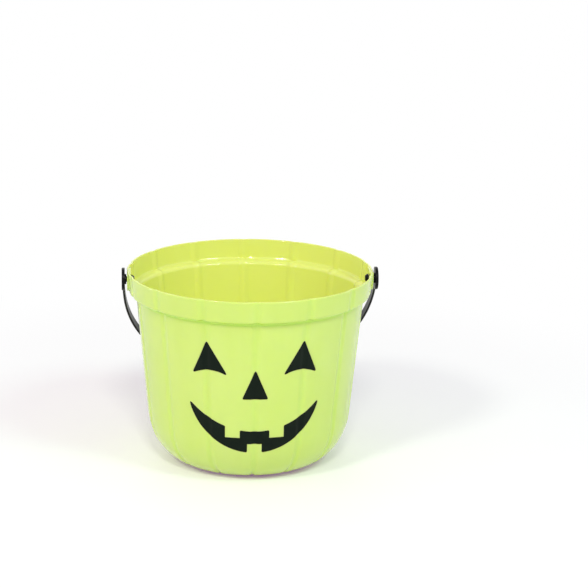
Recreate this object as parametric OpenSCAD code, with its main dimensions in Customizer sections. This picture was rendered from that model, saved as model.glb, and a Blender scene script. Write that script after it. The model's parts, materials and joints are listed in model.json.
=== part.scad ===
// Pumpkin candy pail: a thin moulded tub with fourteen lobes and a flared rim band,
// a recessed painted face on its front, and one swinging bail that snaps into two ears.
// Millimetres. The origin is the centre of the base, +Z is up and -Y is the front.

/* [Tub] */
// Outer diameter over the top of the rim band
rim_d = 190; // [170:1:210]
// Height from the table to the top of the rim
tub_h = 151.2; // [146:0.2:165]
// Height of the rim band's outer face
band_h = 17; // [16:0.5:19]
// How much the band draws in, on the radius, from its top to its lower edge
band_draft = 1.8; // [0.5:0.1:2.5]
// How far the ledge under the band steps in, on the radius
shoulder_in = 5.1; // [4:0.1:8]
// Height over which that ledge slopes
shoulder_h = 1.6; // [1.2:0.1:5]
// How much the wall draws in, on the radius, from the shoulder to the foot curve
wall_draft = 9.3; // [5:0.1:12]
// Height at which the wall starts to curve under
foot_curve_h = 38; // [32:1:42]
// Diameter of the circle on which the tub stands
stand_d = 87; // [76:1:96]
// Thickness of the moulded wall
wall = 1.6; // [1.4:0.1:2]

/* [Lobes] */
// Number of lobes round the tub
lobe_count = 14; // [10:2:18]
// Depth of the groove between two lobes
groove_depth = 0.9; // [0.4:0.1:1.4]

/* [Base] */
// Diameter of the raised panel under the base
panel_d = 66; // [50:1:70]
// How far that panel is raised above the table
panel_rise = 1.4; // [0.8:0.1:2]
// Diameter of the moulding gate's dimple in the panel
gate_d = 7; // [4:0.5:10]
// Depth of the gate's dimple
gate_depth = 0.5; // [0.3:0.1:0.8]

/* [Ears] */
// How far the bail's pivot lies below the top of the rim
pivot_drop = 7.4; // [6.5:0.1:8.5]
// Width of the flat ear pad on each side of the band
ear_w = 18; // [15:0.5:18]
// Thickness of the wall at the ear, from face to face
ear_t = 2.8; // [2.7:0.1:3.4]

/* [Bail] */
// Distance from the pivot line to the middle of the bail's crown
bail_reach = 128; // [122:1:140]
// Thickness of the strap
strap_t = 1.7; // [1.2:0.1:2.2]
// Width of the strap at its legs
leg_w = 6.6; // [5:0.2:7]
// Width of the strap over the hand grip
grip_w = 10; // [8:0.2:14]
// Diameter of the round end disc
disc_d = 17.6; // [14:0.2:20]
// Thickness of the end disc
disc_t = 2.4; // [2.2:0.1:3.4]
// Diameter of the pin that turns in the ear
pin_d = 4.4; // [3.6:0.1:5]
// Diameter of the snap head inside the tub
head_d = 7; // [6:0.1:8]
// Length of the tapered snap head
head_t = 2.4; // [1.2:0.1:3]
// Diameter of the collar between the disc and the ear
collar_d = 8; // [7:0.1:9]
// Length of the collar
collar_t = 1.2; // [0.8:0.1:1.6]

/* [Face] */
// Width of one eye
eye_w = 27; // [22:0.5:29]
// Height of one eye
eye_h = 28; // [22:0.5:29]
// Distance from the middle of the face to the middle of an eye's lower side
eye_x = 33.5; // [31:0.5:35]
// Height of the eyes' lower side
eye_z = 89.5; // [86:0.5:91]
// Width of the nose
nose_w = 20; // [14:0.5:21]
// Height of the nose
nose_h = 24; // [16:0.5:26]
// Height of the nose's lower side
nose_z = 72; // [70:0.5:74]
// Width of the grin from tip to tip
grin_w = 98; // [84:1:100]
// Height of the grin's tips
grin_tip_z = 68; // [64:0.5:69]
// Drop from the tips to the lowest point of the grin
grin_drop = 40; // [34:0.5:42]
// Height of the open mouth in its middle
grin_open = 18; // [14:0.5:19]
// Width of one tooth
tooth_w = 11; // [8:0.5:12]
// Height of one tooth
tooth_h = 7.5; // [5:0.5:8]
// Radius that rounds the corners of the face's shapes
face_round = 1.2; // [0.8:0.1:2]
// Depth of the recess that each shape sits in
recess = 0.6; // [0.4:0.1:0.8]
// Thickness of the paint coat on the recess floor
paint_t = 0.25; // [0.15:0.05:0.3]

/* [Hidden] */
$fn = 64;

// Colours
lime = [0.79, 0.91, 0.42];
black = [0.1, 0.11, 0.11];

// Shares of a lobe's pitch, measured from the groove between two lobes
groove_half_share = 0.11;
column_shares = [-0.11, -0.055, 0, 0.055, 0.11, 0.3, 0.5, 0.7];

// Fillets and clearances
band_fillet = 2.4;
shoulder_fillet = 2;
overrun = 1;
pin_clearance = 0.05;
seat_clearance = 0.5;
rest_clearance = 0.4;
paint_edge_clearance = 0.03;

// Sizes worked out from the driving ones
rim_r = rim_d / 2;
lip_r = wall / 2;
band_foot = [rim_r - band_draft, tub_h - band_h];
shoulder_foot = [band_foot[0] - shoulder_in, band_foot[1] - shoulder_h];
wall_foot = [shoulder_foot[0] - wall_draft, foot_curve_h];
stand_r = stand_d / 2;
lip_start = [rim_r, tub_h - lip_r];
pivot_z = tub_h - pivot_drop;
pitch_angle = 360 / lobe_count;
column_count = lobe_count * len(column_shares);

// Plain vector helpers for the profile, whose points are [radius, height]
function unit(v) = v / norm(v);
function out_normal(v) = [v[1], -v[0]];
function cubic(a, b, c, d, t) =
    (1 - t) * (1 - t) * (1 - t) * a + 3 * (1 - t) * (1 - t) * t * b + 3 * (1 - t) * t * t * c + t * t * t * d;

// Points of an arc of radius r that rounds the corner b between a and c
function fillet(a, b, c, r, steps) =
    let (
        ba = unit(a - b),
        bc = unit(c - b),
        half = acos(ba * bc) / 2,
        centre = b + unit(ba + bc) * r / sin(half),
        first = b + ba * r / tan(half) - centre,
        last = b + bc * r / tan(half) - centre,
        sweep = acos(unit(first) * unit(last))
    )
    [for (i = [0 : steps])
        let (s = i / steps)
        centre + (first * sin((1 - s) * sweep) + last * sin(s * sweep)) / sin(sweep)];

// The foot curve leaves the wall in its own direction and meets the table level
curve_pull_share = 0.55;
wall_dir = unit(wall_foot - shoulder_foot);
curve_steps = 7;
function foot_curve() =
    [for (i = [1 : curve_steps])
        cubic(
            [stand_r, 0],
            [stand_r + curve_pull_share * (wall_foot[0] - stand_r), 0],
            wall_foot + wall_dir * curve_pull_share * foot_curve_h,
            wall_foot,
            i / curve_steps)];

// Outer profile from the middle of the base up to the start of the lip
fillet_steps = 2;
outer_profile = concat(
    [[0, panel_rise], [panel_d / 2, panel_rise], [panel_d / 2 + panel_rise, 0], [stand_r, 0]],
    foot_curve(),
    fillet(wall_foot, shoulder_foot, band_foot, shoulder_fillet, fillet_steps),
    fillet(shoulder_foot, band_foot, lip_start, band_fillet, fillet_steps),
    [lip_start]
);
profile_last = len(outer_profile) - 1;
// The base panel stays flat: only from here on do the grooves show
groove_from = 3;

function seg_normal(i) = out_normal(unit(outer_profile[i + 1] - outer_profile[i]));
// Normal at a profile point, as long as it must be for the inner wall to keep its thickness
function profile_normal(i) =
    i == 0 ? [0, -1] :
    i == profile_last ? [1, 0] :
    let (n = unit(seg_normal(i - 1) + seg_normal(i)))
    n / (n * seg_normal(i));
function groove_weight(i) = i < groove_from ? 0 : 1;

// Depth of the groove at one column, from 0 on a lobe to 1 in the middle of the groove
function groove_shape(share) =
    abs(share) < groove_half_share ? (1 + cos(180 * share / groove_half_share)) / 2 : 0;
function column_angle(k) =
    -90 + pitch_angle * (floor(k / len(column_shares)) + column_shares[k % len(column_shares)]);
function column_groove(k) = groove_shape(column_shares[k % len(column_shares)]);

// One ring of points at profile point p, pushed in along n where the grooves run
function ring(p, n, weight) =
    [for (k = [0 : column_count - 1])
        let (
            q = p - n * groove_depth * weight * column_groove(k),
            a = column_angle(k)
        )
        [q[0] * cos(a), q[0] * sin(a), q[1]]];
// The ring that follows profile point i at a depth below the outer surface
function ring_at(i, depth) =
    let (n = profile_normal(i))
    ring(outer_profile[i] - n * depth, unit(n), groove_weight(i));
function flat_list(lists) = [for (l = lists) for (e = l) e];

// Skin of triangles over a stack of rings that is closed by a middle point at each end
module ring_solid(first, rings, last) {
    points = concat([first], flat_list(rings), [last]);
    end = len(points) - 1;
    rows = len(rings);
    function at(row, k) = 1 + row * column_count + k % column_count;
    faces = concat(
        [for (k = [0 : column_count - 1]) [0, at(0, k), at(0, k + 1)]],
        [for (row = [0 : rows - 2]) for (k = [0 : column_count - 1])
            [at(row, k), at(row + 1, k), at(row + 1, k + 1)]],
        [for (row = [0 : rows - 2]) for (k = [0 : column_count - 1])
            [at(row, k), at(row + 1, k + 1), at(row, k + 1)]],
        [for (k = [0 : column_count - 1]) [end, at(rows - 1, k + 1), at(rows - 1, k)]]
    );
    polyhedron(points = points, faces = faces, convexity = 6);
}

// The moulded wall: up the outside, over the rounded lip and down the inside
lip_angles = [45, 90, 135];
module wall_shell() {
    outside = [for (i = [1 : profile_last]) ring_at(i, 0)];
    lip = [for (a = lip_angles)
        ring(lip_start + lip_r * [cos(a) - 1, sin(a)], [1, 0], 1)];
    inside = [for (i = [profile_last : -1 : 1]) ring_at(i, wall)];
    ring_solid(
        [0, 0, panel_rise],
        concat(outside, lip, inside),
        [0, 0, panel_rise + wall]);
}

// The front of the tub's wall between two depths below its outer surface
front_lobes = 4;
skin_first = groove_from + 2;
skin_last = profile_last - fillet_steps - 1;
module front_skin(outer_depth, inner_depth) {
    half = front_lobes * len(column_shares) / 2;
    across = 2 * half + 1;
    rows = skin_last - skin_first + 1;
    columns = [for (k = [-half : half]) (k + column_count) % column_count];
    function layer(depth) =
        [for (i = [skin_first : skin_last]) let (r = ring_at(i, depth)) for (k = columns) r[k]];
    count = rows * across;
    function quad(a, b, c, d) = [[a, b, c], [a, c, d]];
    function cell(row, k) = row * across + k;
    edge = concat(
        [for (k = [0 : across - 1]) cell(0, k)],
        [for (row = [1 : rows - 1]) cell(row, across - 1)],
        [for (k = [across - 2 : -1 : 0]) cell(rows - 1, k)],
        [for (row = [rows - 2 : -1 : 1]) cell(row, 0)]
    );
    faces = concat(
        flat_list([for (row = [0 : rows - 2]) for (k = [0 : across - 2])
            quad(cell(row, k), cell(row + 1, k), cell(row + 1, k + 1), cell(row, k + 1))]),
        flat_list([for (row = [0 : rows - 2]) for (k = [0 : across - 2])
            quad(
                count + cell(row, k), count + cell(row, k + 1),
                count + cell(row + 1, k + 1), count + cell(row + 1, k))]),
        flat_list([for (i = [0 : len(edge) - 1])
            let (a = edge[i], b = edge[(i + 1) % len(edge)])
            quad(a, b, count + b, count + a)])
    );
    polyhedron(points = concat(layer(outer_depth), layer(inner_depth)), faces = faces, convexity = 6);
}

// Flat ear pad that carries the bail on one side of the band
ear_in = rim_r - ear_t;
ear_top = tub_h - lip_r;
module ear() {
    translate([ear_in, 0, pivot_z]) {
        intersection() {
            rotate([0, 90, 0]) cylinder(h = ear_t, d = ear_w);
            translate([0, -ear_w / 2, -ear_w / 2]) cube([ear_t, ear_w, ear_w / 2]);
        }
        translate([0, -ear_w / 2, 0]) cube([ear_t, ear_w, ear_top - pivot_z]);
    }
}
module ear_hole() {
    translate([ear_in - overrun, 0, pivot_z])
        rotate([0, 90, 0])
            cylinder(h = ear_t + 2 * overrun, d = pin_d + 2 * pin_clearance);
}

// Both sides of the tub, the second one turned round the middle
module both_sides() {
    children();
    rotate([0, 0, 180]) children();
}

// Outlines of the face in the front plane, x across and y up
eye_lean_share = 0.12;
eye_brow_share = 0.16;
module soft_corners() {
    offset(r = face_round, $fn = 24) offset(delta = -face_round) children();
}
// A leaning triangle whose lower side bows up
module eye_outline() {
    bow_drop = eye_h * eye_brow_share;
    bow_r = (eye_w * eye_w / 4 + bow_drop * bow_drop) / (2 * bow_drop);
    translate([eye_x, eye_z])
        soft_corners()
            difference() {
                polygon([[-eye_w / 2, 0], [eye_w / 2, 0], [eye_w * eye_lean_share, eye_h]]);
                translate([0, bow_drop - bow_r]) circle(r = bow_r, $fn = 96);
            }
}
// A tall triangle that stands on its short side
module nose_outline() {
    translate([0, nose_z])
        soft_corners() polygon([[-nose_w / 2, 0], [nose_w / 2, 0], [0, nose_h]]);
}
// A crescent with two teeth above and one below
grin_low_r = (grin_w * grin_w / 4 + grin_drop * grin_drop) / (2 * grin_drop);
grin_rise = grin_drop - grin_open;
grin_up_r = (grin_w * grin_w / 4 + grin_rise * grin_rise) / (2 * grin_rise);
upper_tooth_share = 0.17;
module crescent() {
    difference() {
        translate([0, grin_tip_z - grin_drop + grin_low_r]) circle(r = grin_low_r, $fn = 128);
        translate([0, grin_tip_z - grin_rise + grin_up_r]) circle(r = grin_up_r, $fn = 128);
    }
}
module grin_outline() {
    tooth_x = grin_w * upper_tooth_share;
    upper_edge = grin_tip_z - grin_rise + grin_up_r - sqrt(grin_up_r * grin_up_r - tooth_x * tooth_x);
    soft_corners()
        difference() {
            crescent();
            for (side = [-1, 1])
                translate([side * tooth_x - tooth_w / 2, upper_edge - tooth_h])
                    square([tooth_w, grin_drop]);
            translate([-tooth_w / 2, grin_tip_z - grin_drop - overrun])
                square([tooth_w, tooth_h + overrun]);
        }
}

// A face outline pressed straight back into the front of the tub
module front_prism() {
    translate([0, -stand_r / 2, 0])
        rotate([90, 0, 0])
            linear_extrude(height = rim_r) children();
}
module face_outlines() {
    for (side = [-1, 1]) scale([side, 1]) eye_outline();
    nose_outline();
    grin_outline();
}

// Tub with its ears, pin holes, face recesses and gate dimple
module tub() {
    color(lime)
        difference() {
            union() {
                wall_shell();
                both_sides() ear();
            }
            both_sides() ear_hole();
            intersection() {
                front_prism() face_outlines();
                front_skin(-overrun, recess);
            }
            translate([0, 0, panel_rise - overrun])
                cylinder(h = overrun + gate_depth, d = gate_d);
        }
}

// One coat of paint on the floor of a recess
module paint_coat() {
    color(black)
        intersection() {
            front_prism() offset(delta = -paint_edge_clearance) children();
            front_skin(recess - paint_t, recess);
        }
}
module left_eye_paint() { paint_coat() scale([-1, 1]) eye_outline(); }
module right_eye_paint() { paint_coat() eye_outline(); }
module nose_paint() { paint_coat() nose_outline(); }
module mouth_paint() { paint_coat() grin_outline(); }

// Bail, drawn upright over its pivot line and then laid back until its crown meets the wall
bail_power = 2.3;
strap_steps = 60;
disc_in = rim_r + seat_clearance + collar_t;
leg_x = disc_in + strap_t / 2;
function strap_x(a) = leg_x * pow(abs(cos(a)), 2 / bail_power) * sign(cos(a));
function strap_z(a) = bail_reach * pow(abs(sin(a)), 2 / bail_power);
// Steps crowd towards the pivots, where the curve is straightest
function strap_point(i) =
    let (a = 180 * i / strap_steps)
    a == 90 ? [0, bail_reach] : [strap_x(a), strap_z(a)];
function strap_normal(i) =
    i == 0 ? [1, 0] :
    i == strap_steps ? [-1, 0] :
    let (d = unit(strap_point(i + 1) - strap_point(i - 1)))
    [d[1], -d[0]];
module strap_outline() {
    polygon(concat(
        [for (i = [0 : strap_steps]) strap_point(i) + strap_normal(i) * strap_t / 2],
        [for (i = [strap_steps : -1 : 0]) strap_point(i) - strap_normal(i) * strap_t / 2]));
}
// Half the strap's width across the bail: narrow legs that widen to the grip
grip_share = 0.5;
leg_share = 0.9;
taper_steps = 10;
function strap_half_w(s) =
    let (t = min(1, max(0, (abs(s) - grip_share) / (leg_share - grip_share))))
    (grip_w + (leg_w - grip_w) * (1 - cos(180 * t)) / 2) / 2;
module strap_width() {
    reach_x = leg_x + strap_t;
    stations = [for (i = [-taper_steps : taper_steps])
        let (t = abs(i) / taper_steps)
        (i < 0 ? -1 : 1) * (grip_share + (leg_share - grip_share) * t)];
    polygon(concat(
        [[-reach_x, -leg_w / 2]],
        [for (s = stations) [s * leg_x, -strap_half_w(s)]],
        [[reach_x, -leg_w / 2], [reach_x, leg_w / 2]],
        [for (i = [len(stations) - 1 : -1 : 0]) [stations[i] * leg_x, strap_half_w(stations[i])]],
        [[-reach_x, leg_w / 2]]));
}
module strap() {
    intersection() {
        rotate([90, 0, 0]) linear_extrude(height = 2 * grip_w, center = true) strap_outline();
        linear_extrude(height = 2 * bail_reach, center = true) strap_width();
    }
}
// Disc, collar, pin and snap head of one end, along +X
disc_edge = disc_t / 3;
head_lead_share = 0.6;
module stud() {
    head_out = ear_in - seat_clearance;
    rotate([0, 90, 0]) {
        translate([0, 0, disc_in])
            rotate_extrude()
                union() {
                    square([disc_d / 2, disc_t - disc_edge]);
                    square([disc_d / 2 - disc_edge, disc_t]);
                    translate([disc_d / 2 - disc_edge, disc_t - disc_edge]) circle(r = disc_edge);
                }
        translate([0, 0, disc_in - collar_t]) cylinder(h = collar_t, d = collar_d);
        translate([0, 0, head_out]) cylinder(h = disc_in - head_out, d = pin_d);
        translate([0, 0, head_out - head_t])
            cylinder(h = head_t, d1 = head_d * head_lead_share, d2 = head_d);
    }
}
// The bail lies back until an inner edge of the strap comes near the wall, or near the table
wall_table = [for (i = [groove_from : profile_last]) [outer_profile[i][1], outer_profile[i][0]]];
inner_edges = [for (i = [0 : strap_steps / 2]) for (side = [-1, 1])
    let (p = strap_point(i) - strap_normal(i) * strap_t / 2)
    [p[0], p[1], side * strap_half_w(p[0] / leg_x)]];
// Gap at one point of an inner edge, for a bail that lies at angle a below level
function edge_gap(e, a) =
    let (
        y = e[1] * cos(a) + e[2] * sin(a),
        z = pivot_z - e[1] * sin(a) + e[2] * cos(a)
    )
    min(z, norm([e[0], y]) - lookup(z, wall_table));
function lay_gap(a) = min([for (e = inner_edges) edge_gap(e, a)]);
function lay_angle(low, high, turns) =
    let (middle = (low + high) / 2)
    turns == 0 ? middle :
    lay_gap(middle) > rest_clearance ? lay_angle(middle, high, turns - 1) :
    lay_angle(low, middle, turns - 1);
lay_search_turns = 24;
bail_lay = lay_angle(0, 90, lay_search_turns);
module bail() {
    color(black)
        translate([0, 0, pivot_z])
            rotate([-90 - bail_lay, 0, 0]) {
                strap();
                both_sides() stud();
            }
}

tub();
bail();
left_eye_paint();
right_eye_paint();
nose_paint();
mouth_paint();
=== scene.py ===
"""Pumpkin candy pail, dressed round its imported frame.

The tub, the bail and the painted face are modelled again at full smoothness over the CAD
solids and get their moulded and painted finishes here. Places and sizes are those of the CAD
solids, apart from rounded edges and a narrow land over the tub's inner ledge.
"""

import json
import logging
import math
from contextlib import contextmanager
from dataclasses import dataclass
from enum import Enum
from functools import cached_property
from itertools import pairwise
from typing import Any, Callable, Iterator, Sequence

import bmesh
import bpy
from mathutils import Matrix, Vector

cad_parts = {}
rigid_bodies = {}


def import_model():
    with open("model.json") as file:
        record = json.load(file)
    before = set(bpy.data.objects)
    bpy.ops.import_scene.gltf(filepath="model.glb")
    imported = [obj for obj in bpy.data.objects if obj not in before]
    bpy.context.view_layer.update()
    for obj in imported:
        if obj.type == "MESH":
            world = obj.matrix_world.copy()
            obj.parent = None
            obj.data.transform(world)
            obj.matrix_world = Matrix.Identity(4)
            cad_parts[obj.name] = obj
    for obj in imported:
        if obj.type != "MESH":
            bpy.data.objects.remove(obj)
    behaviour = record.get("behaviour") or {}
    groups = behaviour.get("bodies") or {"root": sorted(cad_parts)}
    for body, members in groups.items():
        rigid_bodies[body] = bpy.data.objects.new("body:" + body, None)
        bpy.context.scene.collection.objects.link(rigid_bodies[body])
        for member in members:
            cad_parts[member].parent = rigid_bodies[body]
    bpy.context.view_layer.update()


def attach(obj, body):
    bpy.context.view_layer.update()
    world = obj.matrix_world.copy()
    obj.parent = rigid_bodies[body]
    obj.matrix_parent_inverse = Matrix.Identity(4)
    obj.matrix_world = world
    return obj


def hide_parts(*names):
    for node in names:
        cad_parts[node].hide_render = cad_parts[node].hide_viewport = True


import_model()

LOG = logging.getLogger("pail")
MM = 0.001
MICRON = 1e-6
SHARP_DEG = 35
EDGE_DEG = 60
FACING = 0.9
NORMAL_WEIGHT = 80
WHITE = (1, 1, 1, 1)

Colour = tuple[float, float, float, float]
Span = tuple[float, float]
Triple = tuple[float, float, float]
Inputs = dict[int | str, Any]
Piece = bpy.types.Object


class Side(Enum):
    """The two sides of the pail, as the sign of X."""

    LEFT = -1
    RIGHT = 1


class Body(Enum):
    """The bodies that pieces ride on."""

    TUB = "tub"
    BAIL = "bail"


class Slot(Enum):
    """The record's material slots."""

    LIME = "lime_plastic"
    BLACK = "black_plastic"
    PAINT = "face_paint"


def srgb(red: int, green: int, blue: int) -> Colour:
    """Gives the linear colour of an 8-bit screen colour.

    Args:
        red: Red from 0 to 255.
        green: Green from 0 to 255.
        blue: Blue from 0 to 255.

    Returns:
        Linear red, green and blue, and an alpha of 1.
    """
    def linear(level: int) -> float:
        """Gives one linear channel."""
        share = level / 255
        return share / 12.92 if share <= 0.04045 else ((share + 0.055) / 1.055) ** 2.4

    return (linear(red), linear(green), linear(blue), 1.0)


class Value:
    """A shader socket that takes part in Python sums.

    Args:
        shader: The shader whose tree holds the socket.
        socket: The output socket.
    """

    def __init__(self, shader: "Shader", socket: bpy.types.NodeSocket) -> None:
        """Keeps the socket and its shader."""
        self.shader = shader
        self.socket = socket

    def math(self, operation: str, *others: Any) -> "Value":
        """Adds one Math node, with this value and the others as its operands."""
        return self.shader.value("Math", dict(enumerate((self, *others))), operation=operation)

    def __add__(self, other: Any) -> "Value":
        """Adds."""
        return self.math("ADD", other)

    def __sub__(self, other: Any) -> "Value":
        """Subtracts."""
        return self.math("SUBTRACT", other)

    def __rsub__(self, other: float) -> "Value":
        """Subtracts this from a number."""
        return self.shader.value("Math", {0: other, 1: self}, operation="SUBTRACT")

    def __mul__(self, other: Any) -> "Value":
        """Multiplies."""
        return self.math("MULTIPLY", other)

    def __abs__(self) -> "Value":
        """Drops the sign."""
        return self.math("ABSOLUTE")

    __radd__ = __add__
    __rmul__ = __mul__

    def ramp(self, low: float, high: float) -> "Value":
        """Rises smoothly from 0 at low to 1 at high, or falls where low is the larger.

        Args:
            low: Where the result is 0.
            high: Where the result is 1.

        Returns:
            The smooth share.
        """
        inputs = {"Value": self, "From Min": min(low, high), "From Max": max(low, high)}
        share = self.shader.value("MapRange", inputs, interpolation_type="SMOOTHSTEP")
        return 1 - share if low > high else share


class Shader:
    """The nodes of one finish.

    Args:
        block: The material or world that gets them.
    """

    def __init__(self, block: bpy.types.Material | bpy.types.World) -> None:
        """Takes the block's node tree and empties it."""
        block.use_nodes = True
        self.block = block
        self.tree = block.node_tree
        self.tree.nodes.clear()

    @cached_property
    def place(self) -> Value:
        """Gives the place on the surface, in the piece's own space."""
        return self.value("TexCoord", {}, "Object")

    def node(self, kind: str, inputs: Inputs, **settings: Any) -> bpy.types.Node:
        """Adds one node.

        Args:
            kind: The node's type, without its prefix.
            inputs: Numbers, colours or values for its sockets, by name or number.
            settings: Properties of the node, set first.

        Returns:
            The node.
        """
        made = self.tree.nodes.new("ShaderNode" + kind)
        for key, setting in settings.items():
            setattr(made, key, setting)
        for key, item in inputs.items():
            if isinstance(item, Value):
                self.tree.links.new(item.socket, made.inputs[key])
            else:
                made.inputs[key].default_value = item
        return made

    def value(self, kind: str, inputs: Inputs, output: int | str = 0, **settings: Any) -> Value:
        """Adds one node and gives one of its outputs."""
        return Value(self, self.node(kind, inputs, **settings).outputs[output])

    def vector(self, operation: str, *operands: Any, output: int | str = 0) -> Value:
        """Adds one Vector Math node and gives one of its outputs."""
        return self.value("VectorMath", dict(enumerate(operands)), output, operation=operation)

    def noise(self, scale: float, detail: float, stretch: Triple = (1, 1, 1)) -> Value:
        """Adds cloudy noise in the piece's own space.

        Args:
            scale: Waves to the metre.
            detail: Octaves.
            stretch: How much finer the noise is along X, Y and Z.

        Returns:
            The noise, from 0 to 1.
        """
        place = self.value("Mapping", {"Vector": self.place, "Scale": stretch})
        return self.value("TexNoise", {"Vector": place, "Scale": scale, "Detail": detail}, "Fac")

    def blend(self, share: Any, low: Any, high: Any) -> Value:
        """Mixes two colours, by a share that is 0 for low and 1 for high."""
        inputs = {0: share, 6: low, 7: high}
        return self.value("Mix", inputs, 2, data_type="RGBA", blend_type="MIX")

    def axis(self, name: str) -> Value:
        """Gives one coordinate of the place, in metres."""
        return self.value("SeparateXYZ", {0: self.place}, name)

    def facing_in(self, upward: float = 0.2, soft: float = 0.15) -> Value:
        """Tells the inside of a round vessel from its outside.

        Args:
            upward: How much a surface that faces up counts as the inside.
            soft: How softly the one goes over into the other.

        Returns:
            1 where the surface faces the upright middle line or up, and 0 elsewhere.
        """
        normal = self.value("NewGeometry", {}, "True Normal")
        outward = self.vector("NORMALIZE", self.vector("MULTIPLY", self.place, (1, 1, 0)))
        lowered = self.vector("ADD", outward, (0, 0, -upward))
        return self.vector("DOT_PRODUCT", normal, lowered, output="Value").ramp(soft, -soft)

    def bump(self, height: Value, strength: float, depth: float) -> Value:
        """Turns a height pattern from 0 to 1 into a normal, with its real depth in metres."""
        inputs = {"Height": height, "Strength": strength, "Distance": depth}
        return self.value("Bump", inputs, "Normal")

    def finish(self, inputs: Inputs) -> bpy.types.Material:
        """Adds the Principled shader and the output.

        Args:
            inputs: Numbers, colours or values for the Principled sockets.

        Returns:
            The material.
        """
        surface = self.value("BsdfPrincipled", inputs, "BSDF")
        self.node("OutputMaterial", {"Surface": surface})
        return self.block


@dataclass(frozen=True)
class LimePlastic:
    """Soft, glossy, slightly translucent moulded plastic of the tub.

    Scales of noise are in waves to the metre, and heights in metres.

    Attributes:
        colour: The plastic's own colour.
        deep: The colour of the moulding's flow marks, and painted shade along the grooves.
        under: Painted light through the wall: a greener colour under the rim band and in the grooves.
        inside: The warmer colour painted on the inner wall as light that bounces to and fro.
        pale: The colour of scuffed and dusty spots.
        roughness: Its mean roughness.
        lobe_count: Number of lobes, for the shade along the grooves.
        groove: Shares of a lobe's pitch where the grooves' painted shade is gone and where it is
            full.
        ledge_foot: Heights between which the painted light under the band fades in.
        ledge_top: Heights between which it fades out again, upwards.
        rim: Heights over which the rim's wear sets in.
        foot: Heights over which the foot's wear sets in, downwards.
        cloud_scale: Scale of the cloudy patches.
        streak_scale: Scale of the upright flow streaks.
        scuff_scale: Scale of the scuffs.
        scratch_scale: Scale of the fine scratches round the tub.
        skin_scale: Scale of the moulded skin.
        wave_scale: Scale of the slow waves in the wall.
        bump_strength: How much of the skin and waves shows.
        bump_depth: Their real height.
    """

    colour: Colour = srgb(212, 236, 129)
    deep: Colour = srgb(207, 232, 116)
    under: Colour = srgb(206, 248, 104)
    inside: Colour = srgb(228, 237, 127)
    pale: Colour = srgb(228, 243, 160)
    roughness: float = 0.1
    lobe_count: int = 14
    groove: Span = (0.12, 0.02)
    ledge_foot: Span = (129.4 * MM, 132 * MM)
    ledge_top: Span = (135.4 * MM, 134 * MM)
    rim: Span = (149.6 * MM, 150.8 * MM)
    foot: Span = (6 * MM, 0)
    cloud_scale: float = 14
    streak_scale: float = 60
    scuff_scale: float = 420
    scratch_scale: float = 90
    skin_scale: float = 1400
    wave_scale: float = 46
    bump_strength: float = 0.22
    bump_depth: float = 0.00016

    def make(self) -> bpy.types.Material:
        """Makes the material.

        Returns:
            The material.
        """
        shader = Shader(bpy.data.materials.new("lime_plastic"))
        height = shader.axis("Z")
        angle = shader.axis("Y").math("ARCTAN2", shader.axis("X"))
        turns = angle * (self.lobe_count / math.tau) + self.lobe_count / 4
        # Painted shade and light along the grooves: darker, and a little greener, in the middle of
        # each.
        groove = abs(turns - turns.math("ROUND")).ramp(*self.groove)
        clouds = shader.noise(self.cloud_scale, 4)
        streaks = shader.noise(self.streak_scale, 3, (1, 1, 0.06))
        flow = (clouds * 0.65 + streaks * 0.35).ramp(0.35, 0.65)
        # The flow marks are a real tone that varies at random; the grooves' share is painted shade.
        body = shader.blend(flow * 0.7 + groove * 0.2, self.colour, self.deep)
        # Painted light through the wall: the shaded strip under the rim band, and a little of each
        # groove, turn greener.
        ledge = height.ramp(*self.ledge_foot) * height.ramp(*self.ledge_top)
        body = shader.blend(ledge * 0.9 + groove * 0.15, body, self.under)
        # Painted bounce light: surfaces that face the middle or up get the warmer inner colour.
        body = shader.blend(shader.facing_in(), body, self.inside)
        scuffs = shader.noise(self.scuff_scale, 5).ramp(0.62, 0.74)
        worn = scuffs * (height.ramp(*self.rim) + height.ramp(*self.foot)) * 0.55
        scratches = shader.noise(self.scratch_scale, 6, (1, 1, 14)).ramp(0.66, 0.7)
        waves = shader.noise(self.skin_scale, 2) * 0.15 + shader.noise(self.wave_scale, 2) * 0.85
        rough = self.roughness + (clouds - 0.5) * 0.12 + worn * 0.3 + scratches * 0.06
        return shader.finish({
            "Base Color": shader.blend(worn + scratches * 0.05, body, self.pale),
            "Roughness": rough,
            "Normal": shader.bump(waves, self.bump_strength, self.bump_depth),
            "IOR": 1.49,
            "Subsurface Weight": 0.6,
            "Subsurface Radius": (1.0, 0.9, 0.25),
            "Subsurface Scale": 0.004,
        })


@dataclass(frozen=True)
class BlackPlastic:
    """Satin black moulded plastic of the bail.

    Scales of noise are in waves to the metre.

    Attributes:
        colour: The plastic's own colour.
        grey: The colour of rubbed spots.
        roughness: Its mean roughness.
        cloud_scale: Scale of the cloudy patches.
        rub_scale: Scale of the rubbed spots.
        skin_scale: Scale of the moulded skin.
        bump_strength: How much of the skin shows.
        bump_depth: Its real height in metres.
    """

    colour: Colour = srgb(9, 9, 12)
    grey: Colour = srgb(38, 38, 44)
    roughness: float = 0.3
    cloud_scale: float = 60
    rub_scale: float = 500
    skin_scale: float = 2200
    bump_strength: float = 0.25
    bump_depth: float = 0.00008

    def make(self) -> bpy.types.Material:
        """Makes the material.

        Returns:
            The material.
        """
        shader = Shader(bpy.data.materials.new("black_plastic"))
        clouds = shader.noise(self.cloud_scale, 4)
        rubs = shader.noise(self.rub_scale, 5, (1, 0.3, 1)).ramp(0.6, 0.75)
        skin = shader.noise(self.skin_scale, 2)
        return shader.finish({
            "Base Color": shader.blend(rubs * 0.35 + clouds * 0.12, self.colour, self.grey),
            "Roughness": self.roughness + (clouds - 0.5) * 0.14 + rubs * 0.12,
            "Normal": shader.bump(skin, self.bump_strength, self.bump_depth),
            "IOR": 1.49,
            "Specular IOR Level": 0.12,
        })


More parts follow.
